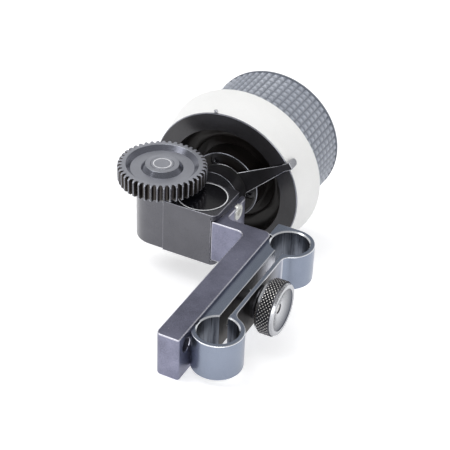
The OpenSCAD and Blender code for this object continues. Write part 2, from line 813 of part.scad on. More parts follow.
module wheel_bevel() {
    collar_y0 = box_y1 - box_wall - face_gap / 2 - shaft_collar_l;
    back_y = axis_y + bevel_r;
    color(BRASS_TINT) translate([wheel_x, back_y, 0]) rotate([90, 0, 0]) difference() {
        union() {
            rotate([0, 0, -90]) bevel_cone();
            translate([0, 0, back_y - collar_y0 + set_fit])
                cylinder(h = collar_y0 - back_y - set_fit + bevel_hub_bite, r = bevel_hub_r);
        }
        translate([0, 0, -box_depth]) cylinder(h = 2 * box_depth, r = nose_d / 2 + set_fit);
    }
}

module idler_shaft() {
    color(STEEL_TINT) round_z(wheel_x, axis_y, cover_blind_t - box_z1 + set_fit,
        box_z1 - disc_t - idler_top_skin - shaft_end_gap, idler_shaft_d / 2);
}

module idler_bevel() {
    color(BRASS_TINT) difference() {
        union() {
            translate([wheel_x, axis_y, -bevel_r]) bevel_cone();
            round_z(wheel_x, axis_y, spur_z1 + set_fit, bevel_hub_bite - bevel_r, bevel_hub_r);
        }
        round_z(wheel_x, axis_y, -box_z1, box_z1, idler_shaft_d / 2 + set_fit);
    }
}

module spur(x, teeth, turn, bore) {
    difference() {
        translate([x, axis_y, spur_z1 - spur_w]) rotate([0, 0, turn]) linear_extrude(spur_w)
            polygon(spur_points(teeth, train_module, backlash));
        round_z(x, axis_y, -box_z1, box_z1, bore + set_fit);
    }
}

module idler_spur() {
    color(BRASS_TINT) spur(wheel_x, idler_teeth, 180, idler_shaft_d / 2);
}

module drive_pinion() {
    color(BRASS_TINT) spur(drive_x, pinion_teeth, 180 / pinion_teeth, drive_shaft_d / 2);
}

// Output shaft with the seat and spigot of the drive gear
module drive_shaft() {
    spigot_z1 = drive_z1 - cap_recess;
    color(STEEL_TINT) difference() {
        union() {
            round_z(drive_x, axis_y, cover_blind_t - box_z1 + set_fit, drive_z0, drive_shaft_d / 2);
            round_z(drive_x, axis_y, box_z1 + face_gap / 2, drive_z0, drive_seat_r);
            round_z(drive_x, axis_y, drive_z0 - set_fit, spigot_z1, spigot_r);
        }
        round_z(drive_x, axis_y, spigot_z1 - drive_screw_len, spigot_z1 + over,
            drive_screw_d / 2 + set_fit);
    }
}

module drive_gear() {
    color(GEAR_TINT) difference() {
        translate([drive_x, axis_y, drive_z0]) linear_extrude(drive_w)
            polygon(spur_points(drive_teeth, drive_module, backlash));
        translate([drive_x, axis_y, drive_z1]) rotate_extrude() polygon([
            [hub_top_d / 2, over], [hub_top_d / 2, 0], [hub_base_d / 2, -groove_depth],
            [groove_d / 2 - groove_depth, -groove_depth], [groove_d / 2, 0], [groove_d / 2, over]]);
        round_z(drive_x, axis_y, drive_z0 - over, drive_z1 + over, spigot_r + set_fit);
        round_z(drive_x, axis_y, drive_z1 - cap_recess, drive_z1 + over, cap_d / 2 + cap_play);
    }
}

module drive_screw() {
    spigot_z1 = drive_z1 - cap_recess;
    color(STEEL_TINT) translate([drive_x, axis_y, spigot_z1 + drive_screw_head_h])
        cap_screw(drive_screw_d, cap_d, drive_screw_head_h, drive_screw_len - shaft_end_gap);
}

module drive_cap() {
    z1 = drive_z1 + set_fit;
    color(BLACK_TINT) round_z(drive_x, axis_y, z1 - cap_t, z1, cap_d / 2);
}

// Dished disc of the handwheel, in profile from its front plane
module wheel_disc() {
    inner_r = rim_r - rim_w;
    hub_r = hub_d / 2;
    color(BLACK_TINT) on_wheel() difference() {
        rotate_extrude() polygon([
            [0, 0], [hub_r, 0], [hub_r, dish_depth],
            [bead_r - bead_w, dish_depth], [bead_r, dish_depth - bead_w],
            [bead_r + bead_w, dish_depth],
            [inner_r - dish_run, dish_depth], [inner_r - dish_run / 4, dish_depth * 3 / 4],
            [inner_r, 0], [rim_r, 0], [rim_r, lip_t], [ring_seat_r, lip_t],
            [ring_seat_r, disc_thick], [0, disc_thick]]);
        translate([0, 0, -over]) cylinder(h = hub_recess + over, r = hub_r - hub_rim);
        translate([0, 0, -over]) cylinder(h = disc_thick + 2 * over, r = wheel_shaft_d / 2 + set_fit);
        disc_screw_places() {
            cylinder(h = disc_thick + over, d = disc_screw_d + 2 * run_fit);
            cylinder(h = hub_recess + disc_screw_sink, d = disc_screw_head_d + 2 * cap_play);
        }
        rim_pin(pin_d / 2 + set_fit);
    }
}

module disc_screw_places() {
    for (a = [0:120:240]) rotate([0, 0, -disc_screw_angle + a])
        translate([disc_screw_r, 0, 0]) children();
}

// The radial pin of the marking ring, drawn about the wheel's axis
module rim_pin(r) {
    rotate([0, 0, -pin_angle]) translate([ring_seat_r - pin_in, 0, pin_h])
        rotate([0, 90, 0]) cylinder(h = pin_in + rim_over + pin_out, r = r);
}

module marking_ring() {
    h0 = lip_t + washer_gap;
    seat_r = ring_seat_r + set_fit;
    color(WHITE_TINT) on_wheel() difference() {
        rotate_extrude() polygon([
            [seat_r, h0], [rim_r, h0], [rim_r + ring_flare, ring_h1], [seat_r, ring_h1]]);
        rim_pin(pin_d / 2 + set_fit);
    }
}

module ring_pin() {
    color(STEEL_TINT) on_wheel() rim_pin(pin_d / 2);
}

module disc_screws() {
    top = hub_recess + disc_screw_sink - disc_screw_head_h;
    length = web_h1 - face_gap - top - disc_screw_head_h;
    color(BLACK_TINT) on_wheel() disc_screw_places()
        translate([0, 0, top]) rotate([180, 0, 0])
            cap_screw(disc_screw_d, disc_screw_head_d, disc_screw_head_h, length);
}

// Drum that carries the marking ring's rear part, the grip and the end cap
module wheel_core() {
    mouth_r = drum_r0 + cap_seat;
    color(BLACK_TINT) on_wheel() difference() {
        rotate_extrude() polygon([
            [0, core_h0], [ring_seat_r, core_h0], [ring_seat_r, ring_h1], [drum_r, ring_h1],
            [drum_r, grip_h1], [mouth_r, grip_h1], [mouth_r, grip_h1 - cap_plate_t],
            [drum_r0, grip_h1 - cap_plate_t], [drum_r0, web_h1], [0, web_h1]]);
        translate([0, 0, core_h0 - over])
            cylinder(h = web_t + 2 * over, r = wheel_shaft_d / 2 + set_fit);
        disc_screw_places() translate([0, 0, core_h0 - over])
            cylinder(h = web_t + 2 * over, d = disc_screw_d + 2 * set_fit);
        cap_screw_places() translate([0, 0, -cap_plate_t - cap_screw_len])
            cylinder(h = cap_screw_len + over, d = cap_screw_d + 2 * set_fit);
    }
}

module shaft_washer() {
    color(STEEL_TINT) on_wheel() translate([0, 0, web_h1]) difference() {
        cylinder(h = nut_washer_t, d = nut_washer_d);
        translate([0, 0, -over]) cylinder(h = nut_washer_t + 2 * over, r = nut_thread_d / 2 + set_fit);
    }
}

module wheel_nut() {
    color(STEEL_TINT) on_wheel() translate([0, 0, web_h1 + nut_washer_t]) difference() {
        cylinder(h = nut_h, d = nut_flats_d, $fn = 6);
        translate([0, 0, -over]) cylinder(h = nut_h + 2 * over, r = nut_thread_d / 2 + set_fit);
    }
}

// The grip's field of pyramids as one solid: each stands on four points of the groove radius
module grip_pyramids() {
    n = pyramid_count;
    step = 360 / n;
    groove_r = grip_d / 2 - grip_relief;
    h0 = grip_h0 + grip_band / 2;
    row = (grip_h1 - grip_h0 - grip_band) / row_count;
    feet = [for (j = [0:row_count], i = [0:n - 1])
        [groove_r * cos((i + 1 / 2) * step), groove_r * sin((i + 1 / 2) * step), h0 + j * row]];
    tips = [for (j = [0:row_count - 1], i = [0:n - 1])
        [grip_d / 2 * cos(i * step), grip_d / 2 * sin(i * step), h0 + (j + 1 / 2) * row]];
    sides = [for (j = [0:row_count - 1], i = [0:n - 1])
        let (a = j * n + (i + n - 1) % n, b = j * n + i, tip = len(feet) + b)
        each [[tip, b, a], [tip, b + n, b], [tip, a + n, b + n], [tip, a, a + n]]];
    ends = [[for (i = [0:n - 1]) i], [for (i = [n - 1:-1:0]) row_count * n + i]];
    polyhedron(concat(feet, tips), concat(sides, ends));
}

// The smooth band at one end of the grip
module grip_end() {
    r = grip_d / 2;
    rotate_extrude() polygon([
        [0, 0], [r - grip_edge, 0], [r, grip_edge], [r, grip_band], [0, grip_band]]);
}

module rubber_grip() {
    color(RUBBER_TINT) on_wheel() difference() {
        union() {
            grip_pyramids();
            translate([0, 0, grip_h0]) grip_end();
            translate([0, 0, grip_h1]) mirror([0, 0, 1]) grip_end();
        }
        translate([0, 0, grip_h0 - over])
            cylinder(h = grip_h1 - grip_h0 + 2 * over, r = drum_r + set_fit);
    }
}

module cap_screw_places() {
    for (a = [0:120:240]) rotate([0, 0, a])
        translate([drum_r0 + cap_seat - cap_screw_edge, 0, grip_h1]) children();
}

module end_cap() {
    color(BLACK_TINT) on_wheel() difference() {
        translate([0, 0, grip_h1 - cap_plate_t])
            cylinder(h = cap_plate_t, r = drum_r0 + cap_seat - cap_play);
        translate([0, 0, grip_h1 - cap_dish_depth]) cylinder(h = cap_dish_depth + over, d = cap_dish_d);
        cap_screw_places() {
            translate([0, 0, -cap_plate_t - over])
                cylinder(h = cap_plate_t + 2 * over, d = cap_screw_d + 2 * run_fit);
            translate([0, 0, -cap_screw_head_h])
                cylinder(h = cap_screw_head_h + over, d = cap_screw_head_d + 2 * cap_play);
        }
    }
}

module cap_screws() {
    color(STEEL_TINT) on_wheel() cap_screw_places()
        cap_screw(cap_screw_d, cap_screw_head_d, cap_screw_head_h, cap_plate_t + cap_screw_len / 2);
}

rod_clamp();
clamp_knob();
clamp_stud();
thrust_washer();
arm_bracket();
arm_screws();
gearbox_housing();
housing_screws();
base_cover();
base_screws();
top_disc();
boss_collar();
friction_ring();
pointer();
wheel_bush_inner();
wheel_bush_outer();
wheel_shaft();
wheel_bevel();
idler_shaft();
idler_bevel();
idler_spur();
idler_bush_upper();
idler_bush_lower();
drive_shaft();
drive_pinion();
drive_bush_upper();
drive_bush_lower();
drive_gear();
drive_screw();
drive_cap();
wheel_disc();
marking_ring();
ring_pin();
disc_screws();
wheel_core();
shaft_washer();
wheel_nut();
rubber_grip();
end_cap();
cap_screws();
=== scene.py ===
"""Looks of the follow focus unit: camera, light, floor, materials and the pieces with fine detail.

Lengths of the unit are written in millimetres and turned into metres by MM. The studio's are in
metres, and the camera's sensor is in millimetres. The frame is the CAD's: its origin is on the front
rod bore's axis, +Z runs along the bores, +Y to the handwheel, +X to the clamp knob.
"""
import json
import math

import bmesh
import bpy
from mathutils import Matrix, Vector

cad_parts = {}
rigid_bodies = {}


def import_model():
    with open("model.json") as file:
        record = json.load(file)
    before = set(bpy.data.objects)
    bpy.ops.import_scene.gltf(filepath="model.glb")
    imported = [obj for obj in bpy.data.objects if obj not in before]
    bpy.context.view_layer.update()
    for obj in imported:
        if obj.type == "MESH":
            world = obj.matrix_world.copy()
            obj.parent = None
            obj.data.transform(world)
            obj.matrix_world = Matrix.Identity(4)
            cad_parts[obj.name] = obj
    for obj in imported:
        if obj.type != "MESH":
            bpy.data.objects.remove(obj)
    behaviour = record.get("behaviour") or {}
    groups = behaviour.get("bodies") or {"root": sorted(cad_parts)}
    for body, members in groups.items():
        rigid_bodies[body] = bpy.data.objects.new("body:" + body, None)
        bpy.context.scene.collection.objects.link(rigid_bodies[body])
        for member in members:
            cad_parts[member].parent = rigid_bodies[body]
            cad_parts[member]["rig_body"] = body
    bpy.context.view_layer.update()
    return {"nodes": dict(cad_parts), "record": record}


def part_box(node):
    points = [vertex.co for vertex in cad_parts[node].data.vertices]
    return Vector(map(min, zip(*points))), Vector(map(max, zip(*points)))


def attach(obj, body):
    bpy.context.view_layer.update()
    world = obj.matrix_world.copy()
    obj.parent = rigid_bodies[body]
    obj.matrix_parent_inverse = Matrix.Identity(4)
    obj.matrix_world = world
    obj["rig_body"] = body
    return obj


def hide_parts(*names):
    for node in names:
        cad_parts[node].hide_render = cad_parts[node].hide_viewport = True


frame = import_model()

MM = 0.001
IMAGE = 450

# Camera, solved from the rod bores, the gearbox and the wheel in the photograph
FOCAL_PIXELS = 1290.7
AZIMUTH = math.radians(25.826)
ELEVATION = math.radians(34.626)
ROLL = math.radians(2.372)
DISTANCE = 485.08 * MM
TARGET = Vector((-20.79, 45.0, 17.76)) * MM
SENSOR = 36.0
CLIP_NEAR, CLIP_FAR = 0.01, 50

# Places that the CAD gives
RING_LOW, RING_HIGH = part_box("marking_ring")
DISC_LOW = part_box("wheel_disc")[0]
GRIP_LOW, GRIP_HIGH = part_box("rubber_grip")
KNOB_LOW, KNOB_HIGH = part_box("clamp_knob")
GEAR_LOW, GEAR_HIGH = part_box("drive_gear")
ARM_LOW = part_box("arm_bracket")[0]
WHEEL_X = (RING_LOW.x + RING_HIGH.x) / 2
GRIP_RADIUS = (GRIP_HIGH.x - GRIP_LOW.x) / 2
KNOB_Y = (KNOB_LOW.y + KNOB_HIGH.y) / 2
ROD_SPACING = 60 * MM

# The unit rests on the arm's lower front edge and on the lowest part of the wheel
FLOOR_NEAR = Vector((0, ARM_LOW.y, ARM_LOW.z))
WHEEL_NODES = ("marking_ring", "wheel_disc", "rubber_grip", "wheel_core", "end_cap")
FLOOR_REACH = 60 * MM
FLOOR_GAP = 0.05 * MM
FLOOR_HALF = 4.0
FLOOR_COLOUR = (0.86, 0.86, 0.87, 1)
FLOOR_GLOW = 0.54

# The sky is pale below one height and grey above another, both as shares of straight up
SKY_LOW, SKY_HIGH = 0.1, 0.55
SKY_PALE, SKY_GREY = 1.0, 0.42
WHITE_LIGHT = (1, 1, 1, 1)
LAMP_AIM = (-0.03, 0.06, 0)

# Share of a normal along Z: less than UPRIGHT on an upright face, more than LEVEL on a level one.
# FACING_X is the same along X, and STEEP is the share of an edge along Z.
UPRIGHT = 0.3
LEVEL = 0.95
FACING_X = 0.9
STEEP = 0.5
SQUARE_ANGLE = math.radians(60)

# Points nearer to each other than MERGE are one, and faces bent by less than FLAT_ANGLE are one
MERGE = 0.0005 * MM
FLAT_ANGLE = math.radians(0.4)
BEVEL_SEGMENTS = 2

# Limits that pick faces and edges of the CAD nodes. They are distances from an axis, but DISH_FRONT
# is counted from the wheel disc's lowest Y, and JAW_LOW and JAW_HIGH are places along X.
DISH_RADIUS = 27 * MM
DISH_FRONT = 0.1 * MM
RIM_RADIUS = 26.5 * MM
HUB_EDGE_LOW, HUB_EDGE_HIGH = 14.6 * MM, 15.6 * MM
TAB_RADIUS = 30.5 * MM
BORE_WORN_RADIUS = 8.2 * MM
BORE_CLEAR_RADIUS = 8.3 * MM
JAW_LOW, JAW_HIGH = -3.1 * MM, 2.1 * MM

# Drive gear: the part of its radius that is teeth, and the length of the slopes at their ends
TOOTH_HEIGHT = 2.2 * MM
TOOTH_SLOPE = 0.6 * MM
BISECT_REACH = 0.001 * MM

# Rings of paint: the lift is half their height
PAINT_WIDTH = 0.45 * MM
PAINT_LIFT = 0.015 * MM
PAINT_STEPS = 96

# Rubber grip: the edge is the bevel of the end bands, and the shares are parts of a pyramid's pitch
GRIP_COLUMNS = 60
GRIP_ROWS = 9
GRIP_WALL = 2.2 * MM
GRIP_BAND = 0.9 * MM
GRIP_BAND_STEPS = 90
GRIP_EDGE = 0.3 * MM
GRIP_DEPTH = 0.8 * MM
GRIP_TOP_GAP = 0.02 * MM
GRIP_GROOVE_SHARE = 0.06
GRIP_TOP_SHARE = 0.08

# Knurl of the clamp knob: the rows are counted along its length
KNURL_TIPS = 42
KNURL_ROWS = 4
KNURL_DEPTH = 0.5 * MM
KNURL_TOP_SHARE = 0.36
# Material of each band of the knob's face, from the rim to the bottom of its hole
DISH_MARKS = (1, 4, 4, 4, 0, 0)

# Part of the noise's range that the tone, the grain and the gloss use
TONE_SPAN = (0.34, 0.66)
GRAIN_SPAN = (0.3, 0.7)
GLOSS_SPAN = (0.25, 0.75)
GLOSS_SPREAD = 0.06
NOISE_DETAIL = 3.0
NOISE_ROUGHNESS = 0.55
BUMP_STRENGTH = 0.6
COAT_ROUGHNESS = 0.2
DOT_CORE = 0.6

CORNERS = ((-1, -1), (1, -1), (1, 1), (-1, 1))


# Mesh helpers

def new_piece(name, mesh, body, materials):
    """Links a mesh as a piece that rides on a body."""
    piece = bpy.data.objects.new(name, mesh)
    bpy.context.scene.collection.objects.link(piece)
    for material in materials:
        mesh.materials.append(material)
    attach(piece, body)
    return piece


def sharpen(work, degrees):
    """Shades smooth and keeps each edge over the angle sharp."""
    for face in work.faces:
        face.smooth = True
    for edge in work.edges:
        if len(edge.link_faces) == 2:
            edge.smooth = edge.calc_face_angle(0) < math.radians(degrees)


class Shell:
    """Gathers points and faces about the local Z of a place; marks are the faces' materials."""

    def __init__(self, place, steps):
        self.place = place
        self.steps = steps
        self.points = []
        self.faces = []
        self.marks = []

    def point(self, radius, turn, height):
        """Adds a point, with its turn counted in steps, and gives its number."""
        angle = 2 * math.pi * turn / self.steps
        local = Vector((radius * math.cos(angle), radius * math.sin(angle), height))
        self.points.append(self.place @ local)
        return len(self.points) - 1

    def ring(self, radius, height, count=None):
        """Adds a ring of points, one for each step unless a count is given."""
        count = count or self.steps
        return [self.point(radius, self.steps * k / count, height) for k in range(count)]

    def face(self, corners, mark):
        """Adds a face."""
        self.faces.append(corners)
        self.marks.append(mark)

    def band(self, first, second, mark):
        """Adds the faces between two rings."""
        for k in range(len(first)):
            after = (k + 1) % len(first)
            self.face((first[k], first[after], second[after], second[k]), mark)

    def turned(self, profile, count, mark):
        """Adds a closed profile of (radius, height) points, turned about the axis."""
        rings = [self.ring(radius, height, count) for radius, height in profile]
        for n, first in enumerate(rings):
            self.band(first, rings[(n + 1) % len(rings)], mark)

    def piece(self, name, body, materials, degrees=None):
        """Makes the piece, with its normals outwards, and smooth below an angle if one is given."""
        mesh = bpy.data.meshes.new(name)
        mesh.from_pydata(self.points, [], self.faces)
        for polygon, mark in zip(mesh.polygons, self.marks):
            polygon.material_index = mark
        work = bmesh.new()
        work.from_mesh(mesh)
        bmesh.ops.remove_doubles(work, verts=work.verts, dist=MERGE)
        bmesh.ops.delete(work, geom=[v for v in work.verts if not v.link_faces], context="VERTS")
        bmesh.ops.recalc_face_normals(work, faces=work.faces)
        if degrees:
            sharpen(work, degrees)
        work.to_mesh(mesh)
        work.free()
        return new_piece(name, mesh, body, materials)


def merge_skin(work):
    """Joins flat faces, and takes out the inner walls where solids of one node touch face to face."""
    def join():
        bmesh.ops.dissolve_limit(work, angle_limit=FLAT_ANGLE, verts=work.verts, edges=work.edges)

    join()
    inner = [face for face in work.faces if abs(face.normal.z) < UPRIGHT
             and sum(len(edge.link_faces) > 2 for edge in face.edges) > 1]
    if inner:
        bmesh.ops.delete(work, geom=inner, context="FACES")
        join()


def softened(node_name, width, materials, angle=32, reshape=None, keep=None):
    """Replaces a CAD node by a copy whose sharp outer edges have a small bevel in the last material,
    mostly a lighter tone that is partly worn bare metal and partly a painted highlight.

    Inner corners stay as they are. Where keep is given, only edges for which it is true are bevelled.
    """
    source = frame["nodes"][node_name]
    work = bmesh.new()
    work.from_mesh(source.data)
    bmesh.ops.remove_doubles(work, verts=work.verts, dist=MERGE)
    merge_skin(work)
    for face in work.faces:
        face.material_index = 0
    if reshape:
        reshape(work)
    sharpen(work, angle)
    weights = work.edges.layers.float.new("bevel_weight_edge")
    for edge in work.edges:
        chosen = not edge.smooth and edge.is_convex and (keep is None or keep(edge))
        edge[weights] = 1.0 if chosen else 0.0
    mesh = bpy.data.meshes.new("soft_" + node_name)
    work.to_mesh(mesh)
    work.free()
    piece = new_piece("soft_" + node_name, mesh, source["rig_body"], materials)
    bevel = piece.modifiers.new("edges", "BEVEL")
    bevel.width = width
    bevel.segments = BEVEL_SEGMENTS
    bevel.limit_method = "WEIGHT"
    bevel.harden_normals = True
    bevel.use_clamp_overlap = False
    bevel.material = len(materials) - 1
    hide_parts(node_name)


# Material helpers

def node(tree, kind, settings=None, **inputs):
    """Adds a shader node. An input is a value or the socket that feeds it; i0 is the first input."""
    made = tree.nodes.new(kind)
    for name, value in (settings or {}).items():
        setattr(made, name, value)
    for name, value in inputs.items():
        key = name.replace("_", " ")
        target = made.inputs[int(key[1:])] if key[1:].isdigit() else made.inputs[key]
        if isinstance(value, bpy.types.NodeSocket):
            tree.links.new(value, target)
        else:
            target.default_value = value
    return made


def noise(tree, scale, stretch):
    """Noise in the object's own space; the scale counts features per metre."""
    place = node(tree, "ShaderNodeTexCoord").outputs["Object"]
    mapped = node(tree, "ShaderNodeMapping", Vector=place, Scale=stretch).outputs["Vector"]
    return node(tree, "ShaderNodeTexNoise", Vector=mapped, Scale=scale, Detail=NOISE_DETAIL,
                Roughness=NOISE_ROUGHNESS).outputs["Fac"]


def span(tree, value, low, high, to_low=0.0, to_high=1.0):
    """Maps a value's range to another range, clamped."""
    return node(tree, "ShaderNodeMapRange", Value=value, From_Min=low, From_Max=high,
                To_Min=to_low, To_Max=to_high).outputs["Result"]


def math_node(tree, operation, a, b):
    """The result of a Math node on two values."""
    return node(tree, "ShaderNodeMath", {"operation": operation}, i0=a, i1=b).outputs["Value"]


def mixed(tree, factor, a, b):
    """Mixes two colours."""
    made = node(tree, "ShaderNodeMix", {"data_type": "RGBA"}, i0=factor, i6=a, i7=b)
    return made.outputs[2]


def rgb(code):
    """A linear colour from an sRGB code such as 5f5f6b."""
    values = [int(code[k:k + 2], 16) / 255 for k in (0, 2, 4)]
    linear = [v / 12.92 if v <= 0.04045 else ((v + 0.055) / 1.055) ** 2.4 for v in values]
    return (*linear, 1.0)


def specks(tree, cell, size, share):
    """Mask of small scattered dots: cells per metre, dot size as a share of a cell, share of cells."""
    place = node(tree, "ShaderNodeTexCoord").outputs["Object"]
    cells = node(tree, "ShaderNodeTexVoronoi", Vector=place, Scale=cell)
    dot = span(tree, cells.outputs["Distance"], size, size * DOT_CORE)
    channel = node(tree, "ShaderNodeSeparateColor", Color=cells.outputs["Color"]).outputs["Red"]
    chosen = math_node(tree, "GREATER_THAN", channel, 1 - share)
    return math_node(tree, "MULTIPLY", dot, chosen)


def surface(name, dark, pale, roughness, metallic=0.0, specular=0.5, grain=2400, grain_depth=0.012,
            stretch=(1, 1, 1), tone_scale=70, dots=None, dot_colour="d8d8da", coat=0.0):
    """A coated or plain surface: slow tone, fine grain in colour, gloss and bump, and scattered dots."""
    material = bpy.data.materials.new(name)
    material.use_nodes = True
    tree = material.node_tree
    shader = tree.nodes["Principled BSDF"]
    shader.inputs["Metallic"].default_value = metallic
    shader.inputs["Specular IOR Level"].default_value = specular
    shader.inputs["Coat Weight"].default_value = coat
    shader.inputs["Coat Roughness"].default_value = COAT_ROUGHNESS
    tone = span(tree, noise(tree, tone_scale, stretch), *TONE_SPAN)
    fine = noise(tree, grain, stretch)
    half_grain = math_node(tree, "MULTIPLY", span(tree, fine, *GRAIN_SPAN), 0.5)
    half_tone = math_node(tree, "MULTIPLY", tone, 0.5)
    colour = mixed(tree, math_node(tree, "ADD", half_grain, half_tone), rgb(dark), rgb(pale))
    if dots:
        colour = mixed(tree, specks(tree, *dots), colour, rgb(dot_colour))
    tree.links.new(colour, shader.inputs["Base Color"])
    gloss = span(tree, fine, *GLOSS_SPAN, roughness - GLOSS_SPREAD, roughness + GLOSS_SPREAD)
    tree.links.new(gloss, shader.inputs["Roughness"])
    bump = node(tree, "ShaderNodeBump", Height=fine, Strength=BUMP_STRENGTH, Distance=grain_depth * MM)
    tree.links.new(bump.outputs["Normal"], shader.inputs["Normal"])
    return material


def shaded_round(material, centre, across, start, end, code):
    """Paints light or shade: blends a colour in from one distance to another from an axis or plane;
    across is 0 along it.
    """
    tree = material.node_tree
    colour = tree.nodes["Principled BSDF"].inputs["Base Color"]
    place = node(tree, "ShaderNodeTexCoord").outputs["Object"]
    shift = [-v * k for v, k in zip(centre, across)]
    flat = node(tree, "ShaderNodeMapping", Vector=place, Location=shift, Scale=across)
    radius = node(tree, "ShaderNodeVectorMath", {"operation": "LENGTH"}, Vector=flat.outputs["Vector"])
    share = span(tree, radius.outputs["Value"], start, end)
    tree.links.new(mixed(tree, share, colour.links[0].from_socket, rgb(code)), colour)


# Grain and tone of metal that is scratched along the bores
SCRATCHED = {"grain": 1300, "grain_depth": 0.002, "stretch": (1, 1, 0.06), "tone_scale": 260}

# The edge materials are lighter bevel tones: partly worn bare metal, partly a painted highlight along the
# edges.
ARM = surface("arm_anodised", "626373", "999aaf", 0.36, 0.9, grain=3000, dots=(420, 0.08, 0.09))
ARM_EDGE = surface("arm_edge_wear_and_highlight", "bcbcc8", "dedee6", 0.28, 0.95)
CLAMP = surface("clamp_anodised", "7f8797", "8f97a7", 0.3, 0.92, grain=5200, grain_depth=0.002,
                dots=(120, 0.03, 0.1))
BORE = surface("bore_scratched", "262a33", "8c919b", 0.3, 0.92, **SCRATCHED)
# The slit and the jaw's outer face: same metal, darker as a painted shade and dark painted reflection.
SLIT_SHADE_AND_SHEEN = surface("slit_painted_shade_and_sheen", "1d1b1b", "45403d", 0.34, 0.9, **SCRATCHED)
CLAMP_EDGE = surface("clamp_edge_wear_and_highlight", "dfe3ea", "f6f8fb", 0.22, 1.0)
HOUSING = surface("housing_anodised", "4f4f55", "606066", 0.3, 0.85, dots=(120, 0.03, 0.12), coat=0.6)
HOUSING_EDGE = surface("housing_edge_wear_and_highlight", "8a8a92", "aeaeb6", 0.25, 0.95)
BLACK = surface("black_anodised", "28272a", "38373a", 0.34, 0.6, dots=(90, 0.02, 0.08),
                dot_colour="77777c", coat=0.6)
BLACK_EDGE = surface("black_edge_wear_and_highlight", "77797f", "a4a6b0", 0.24, 0.95)
BRIGHT_EDGE = surface("bright_edge_wear_and_highlight", "b4b5bb", "dadbe0", 0.24, 1.0)
# Lighter grey of the pointer's tab: a painted highlight.
TAB = surface("pointer_tab_painted_highlight", "7c7d82", "a0a1a7", 0.3, 0.9)
# Duller, darker black for the dish inside the wheel disc's rim: painted shade.
DISH = surface("dish_painted_shade", "131010", "201c1a", 0.42, 0.3)
DISC_TOP = surface("disc_lacquer", "0b0b0e", "121217", 0.16, 0.0, dots=(140, 0.03, 0.1),
                   dot_colour="6c6c72")
GEAR = surface("gear_anodised", "a5a7af", "bec0c9", 0.36, 0.85)
# Same anodised gear, darker on the tooth flanks as a painted shade and on the web's slopes as a painted
# dark reflection.
GEAR_SIDE = surface("gear_tooth_painted_shade", "3b3735", "4d4947", 0.34, 0.85)
GEAR_SLOPE = surface("gear_slope_painted_reflection", "6a6c75", "7b7d88", 0.2, 0.85)
GEAR_EDGE = surface("gear_edge_wear_and_highlight", "8d8f97", "b4b7c0", 0.3, 0.95)
KNOB = surface("knob_anodised", "4c4c50", "626267", 0.3, 0.85)
KNOB_DISH = surface("knob_dish", "b4b5b8", "cccdd0", 0.26, 1.0)
# Bright knurl tips: partly worn bare metal, partly a painted highlight.
KNOB_TIP = surface("knob_tip_wear_and_highlight", "c9c6c0", "f0eeea", 0.42, 0.6)
KNOB_FACE = surface("knob_face", "a3a4a8", "c4c5c9", 0.27, 0.95)
STEEL = surface("bright_steel", "b9bac0", "e2e3e6", 0.2, 1.0)
SCREW = surface("bright_screw", "d4d4cf", "efefeb", 0.4, 0.5)
BRONZE = surface("turned_bronze", "8a6a3c", "b08c54", 0.32, 1.0)
WHITE = surface("white_plastic", "f2f2f1", "fafaf9", 0.35, 0.0, grain_depth=0.004)
PAINT = surface("white_paint", "d9dbdf", "f4f4f6", 0.4, 0.0, grain_depth=0.004)
RUBBER = surface("grip_rubber", "a6abb7", "babfcb", 0.3, 0.0, specular=0.6, grain_depth=0.004)
# The grooves between the pyramids are a darker rubber tone: painted shade.
RUBBER_GROOVE = surface("grip_groove_painted_shade", "6c717b", "7a7f89", 0.45, 0.0, grain_depth=0.006)
# The smooth end bands are a darker rubber tone: painted shade for the thin dark line at each end.
RUBBER_BAND = surface("grip_band", "757a83", "858a94", 0.45, 0.0, grain_depth=0.01)
PLASTIC = surface("friction_plastic", "161617", "222223", 0.5, 0.0)

# Painted reflection on the pale ends of the slit and jaw, painted shade on the dark outer part of the
# knob's dish, and painted shade on the pyramids' dark feet
shaded_round(SLIT_SHADE_AND_SHEEN, (0, 20 * MM, 0), (0, 1, 0), 17 * MM, 28 * MM, "c8cad2")
shaded_round(KNOB_DISH, (0, KNOB_Y, 0), (0, 1, 1), 2.5 * MM, 8 * MM, "53565e")
shaded_round(RUBBER, (WHEEL_X, 0, 0), (1, 0, 1), GRIP_RADIUS - 0.15 * MM, GRIP_RADIUS - GRIP_DEPTH,
             "828791")


# Rules that pick faces and edges of the CAD nodes

def wheel_radius(place):
    """Distance of a place from the wheel's axis."""
    return math.hypot(place.x - WHEEL_X, place.z)


def bore_distance(place):
    """Distance of a place from the nearer rod bore's axis."""
    return min(math.hypot(place.x, place.y), math.hypot(place.x, place.y - ROD_SPACING))


def edge_middle(edge):
    """The place halfway along an edge."""
    return (edge.verts[0].co + edge.verts[1].co) / 2


def dark_dish(work):
    """Gives the faces inside the wheel disc's flat rim a duller, darker black: a painted shade in the
    recessed dish.
    """
    front = DISC_LOW.y + DISH_FRONT
    for face in work.faces:
        middle = face.calc_center_median()
        if middle.y > front and wheel_radius(middle) < DISH_RADIUS:
            face.material_index = 1


def raised_rim(edge):
    """True for the edges of the wheel disc's flat rim, outside of it, and of its hub's front."""
    radius = wheel_radius(edge_middle(edge))
    return radius > RIM_RADIUS or HUB_EDGE_LOW < radius < HUB_EDGE_HIGH


def scratched_bores_and_shaded_slit(work):
    """Gives the rod bores scratched metal, their chamfers a bright tone that is bare metal and a painted
    highlight, and the jaw and slit a painted shade.
    """
    for face in work.faces:
        middle = face.calc_center_median()
        tilt = abs(face.normal.z)
        if bore_distance(middle) < BORE_WORN_RADIUS and tilt < LEVEL:
            face.material_index = 1 if tilt < UPRIGHT else 3
        elif abs(face.normal.x) > FACING_X and JAW_LOW < middle.x < JAW_HIGH:
            face.material_index = 2


